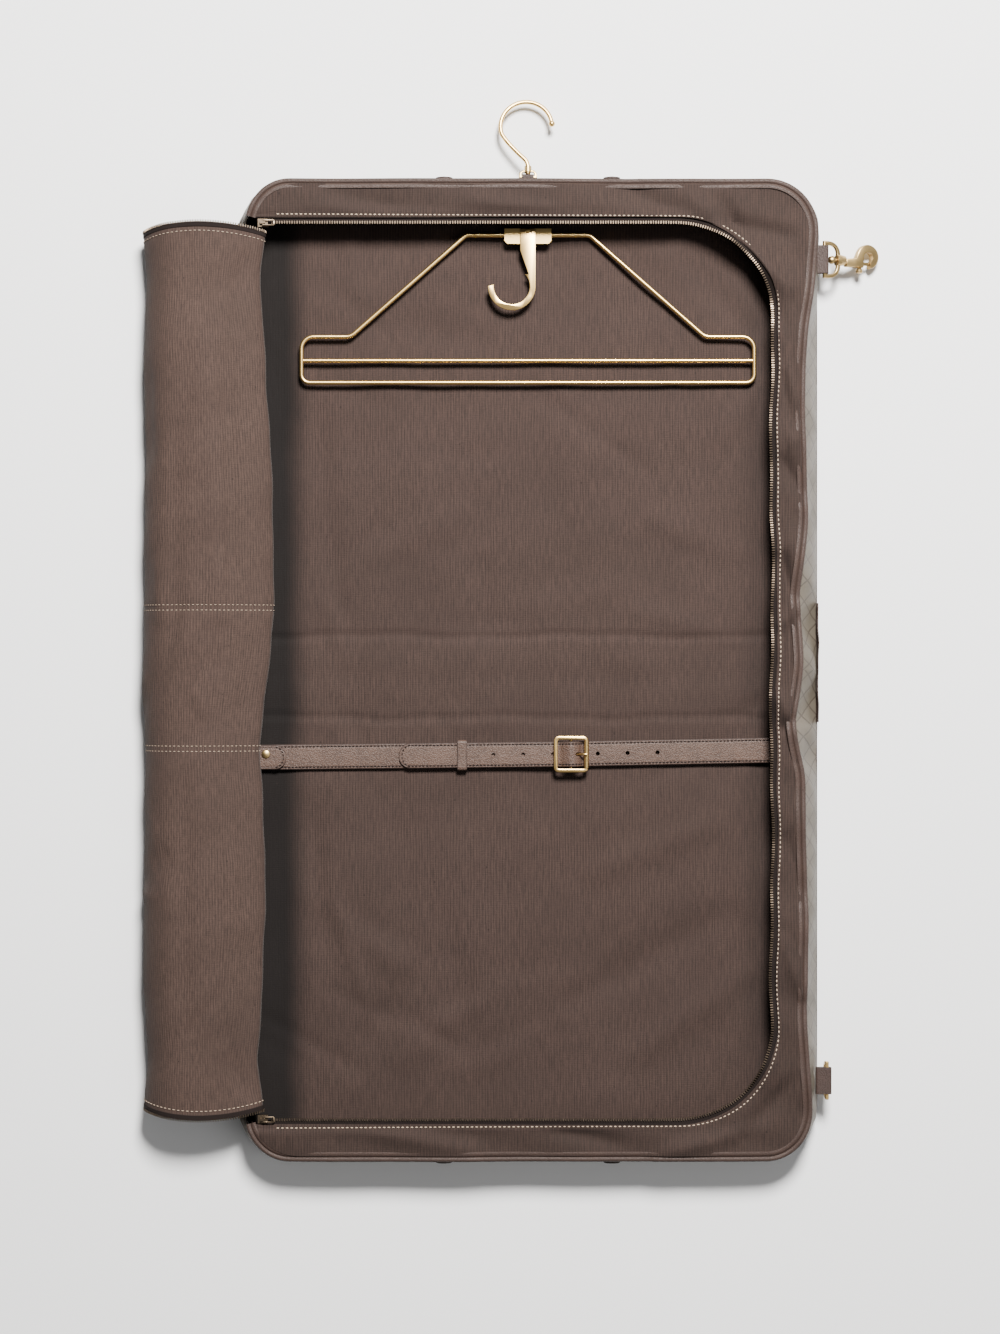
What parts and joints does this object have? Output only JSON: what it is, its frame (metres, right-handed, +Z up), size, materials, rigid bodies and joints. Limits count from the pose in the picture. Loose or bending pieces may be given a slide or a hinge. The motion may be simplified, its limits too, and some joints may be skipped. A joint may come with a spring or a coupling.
{
  "type": "garment bag",
  "caption": "Bifold garment bag lying open on its back, front flap rolled aside, with brass hanger, holding strap, hanging hook and snap hook.",
  "frame": {"origin": "middle of the spine's flat underside, where the open bag rests", "axes": "+Y towards the hanging hook at the top edge, +Z up out of the open front, +X towards the snap hook"},
  "size_m": [0.7434, 1.0648, 0.0612],
  "materials": {
    "lining": "ribbed cotton lining",
    "canvas": "coated canvas",
    "leather": "grained",
    "zip_tape": "woven tape with metal teeth",
    "brass": "satin",
    "aged_brass": "antiqued",
    "steel": "plain"
  },
  "bodies": {
    "spine": {"back_spine": "canvas", "gusset_spine_left": "canvas", "gusset_spine_right": "canvas", "back_piping_spine_left": "leather", "back_piping_spine_right": "leather", "border_spine": "lining", "zip_tape_spine": "zip_tape", "front_piping_spine": "leather", "flap_roll_spine": "lining"},
    "upper_half": {"back_upper": "canvas", "gusset_upper": "canvas", "back_piping_upper": "leather", "front_piping_upper": "leather", "border_upper": "lining", "zip_tape_upper": "zip_tape", "flap_roll_upper": "lining", "hook_tab": "leather", "snap_tab": "leather", "handle_mount_upper_left": "aged_brass", "handle_mount_upper_right": "aged_brass"},
    "lower_half": {"back_lower": "canvas", "gusset_lower": "canvas", "back_piping_lower": "leather", "front_piping_lower": "leather", "border_lower": "lining", "zip_tape_lower": "zip_tape", "flap_roll_lower": "lining", "ring_tab": "leather", "handle_mount_lower_left": "aged_brass", "handle_mount_lower_right": "aged_brass", "strap_buckle_side": "leather", "strap_tip_side": "leather", "strap_tab": "leather", "strap_rivet": "aged_brass", "buckle_frame": "brass"},
    "hook_eye": {"hook_eye": "brass"},
    "top_hook": {"top_hook": "brass"},
    "hanger": {"hanger_wire": "brass", "hanger_crossbar": "brass"},
    "hanger_hook": {"hanger_bracket": "brass", "hanger_flat_hook": "brass", "hanger_rivet": "brass"},
    "zip_slider_top": {"zip_slider_top": "aged_brass"},
    "zip_pull_top": {"zip_pull_top": "aged_brass"},
    "zip_slider_bottom": {"zip_slider_bottom": "aged_brass"},
    "zip_pull_bottom": {"zip_pull_bottom": "aged_brass"},
    "snap_eye": {"snap_eye": "aged_brass"},
    "snap_hook": {"snap_hook": "aged_brass", "snap_spring": "steel"},
    "snap_bolt": {"snap_bolt": "aged_brass"},
    "side_ring": {"side_ring": "aged_brass"},
    "handle_upper": {"handle_upper": "leather"},
    "handle_lower": {"handle_lower": "leather"},
    "strap_keeper": {"strap_keeper": "leather"},
    "buckle_roller": {"buckle_roller": "brass"},
    "buckle_tongue": {"buckle_tongue": "brass"}
  },
  "joints": [
    {"name": "fold_upper", "type": "hinge", "parent": "spine", "child": "upper_half", "pos_m": [0, 0.064, 0.011], "axis": [1, 0, 0], "range_deg": [0, 90], "deforming": ["gusset_spine_left", "gusset_spine_right", "border_spine", "zip_tape_spine", "front_piping_spine", "flap_roll_spine"]},
    {"name": "fold_lower", "type": "hinge", "parent": "spine", "child": "lower_half", "pos_m": [0, -0.064, 0.011], "axis": [-1, 0, 0], "range_deg": [0, 90], "deforming": ["gusset_spine_left", "gusset_spine_right", "border_spine", "zip_tape_spine", "front_piping_spine", "flap_roll_spine"]},
    {"name": "hook_swing", "type": "hinge", "parent": "upper_half", "child": "hook_eye", "pos_m": [0, 0.49395, 0.024], "axis": [1, 0, 0], "range_deg": [-60, 80]},
    {"name": "hook_turn", "type": "hinge", "parent": "hook_eye", "child": "top_hook", "pos_m": [0, 0.49395, 0.024], "axis": [0, 0.9848, -0.1736], "continuous": true},
    {"name": "hanger_lift", "type": "slide", "parent": "upper_half", "child": "hanger", "axis": [0, 0, -1], "range_m": [-0.12, 0]},
    {"name": "hanger_fold", "type": "hinge", "parent": "hanger", "child": "hanger_hook", "pos_m": [0, 0.4365, 0.0182], "axis": [1, 0, 0], "range_deg": [-90, 0]},
    {"name": "zip_top", "type": "slide", "parent": "upper_half", "child": "zip_slider_top", "axis": [1, 0, 0], "range_m": [0, 0.38]},
    {"name": "pull_top", "type": "hinge", "parent": "zip_slider_top", "child": "zip_pull_top", "pos_m": [-0.264, 0.4451, 0.0469], "axis": [0, -1, 0], "range_deg": [0, 165]},
    {"name": "zip_bottom", "type": "slide", "parent": "lower_half", "child": "zip_slider_bottom", "axis": [1, 0, 0], "range_m": [0, 0.38]},
    {"name": "pull_bottom", "type": "hinge", "parent": "zip_slider_bottom", "child": "zip_pull_bottom", "pos_m": [-0.264, -0.4471, 0.0469], "axis": [0, -1, 0], "range_deg": [0, 165]},
    {"name": "snap_swing", "type": "hinge", "parent": "upper_half", "child": "snap_eye", "pos_m": [0.297, 0.4105, 0.03], "axis": [0, -1, 0], "range_deg": [-40, 110]},
    {"name": "snap_turn", "type": "hinge", "parent": "snap_eye", "child": "snap_hook", "pos_m": [0.297, 0.4105, 0.03], "axis": [0.9135, 0, -0.4067], "continuous": true},
    {"name": "snap_bolt_slide", "type": "slide", "parent": "snap_hook", "child": "snap_bolt", "axis": [-0.9135, 0, 0.4067], "range_m": [0, 0.008], "stiffness_N_per_m": 150, "springref_m": -0.006, "deforming": ["snap_spring"]},
    {"name": "ring_swing", "type": "hinge", "parent": "lower_half", "child": "side_ring", "pos_m": [0.299, -0.4105, 0.03], "axis": [0, -1, 0], "range_deg": [0, 150]},
    {"name": "handle_upper_swing", "type": "hinge", "parent": "upper_half", "child": "handle_upper", "pos_m": [0, 0.476, 0.0033], "axis": [1, 0, 0], "range_deg": [0, 165]},
    {"name": "handle_lower_swing", "type": "hinge", "parent": "lower_half", "child": "handle_lower", "pos_m": [0, -0.476, 0.0033], "axis": [-1, 0, 0], "range_deg": [0, 165]},
    {"name": "keeper_slide", "type": "slide", "parent": "lower_half", "child": "strap_keeper", "axis": [1, 0, 0], "range_m": [-0.045, 0.075]},
    {"name": "roller_turn", "type": "hinge", "parent": "lower_half", "child": "buckle_roller", "pos_m": [0.05875, -0.0845, 0.0204], "axis": [0, 1, 0], "continuous": true},
    {"name": "tongue_play", "type": "hinge", "parent": "lower_half", "child": "buckle_tongue", "pos_m": [0.0433, -0.0845, 0.0171], "axis": [0, -1, 0], "range_deg": [0, 5]}
  ]
}
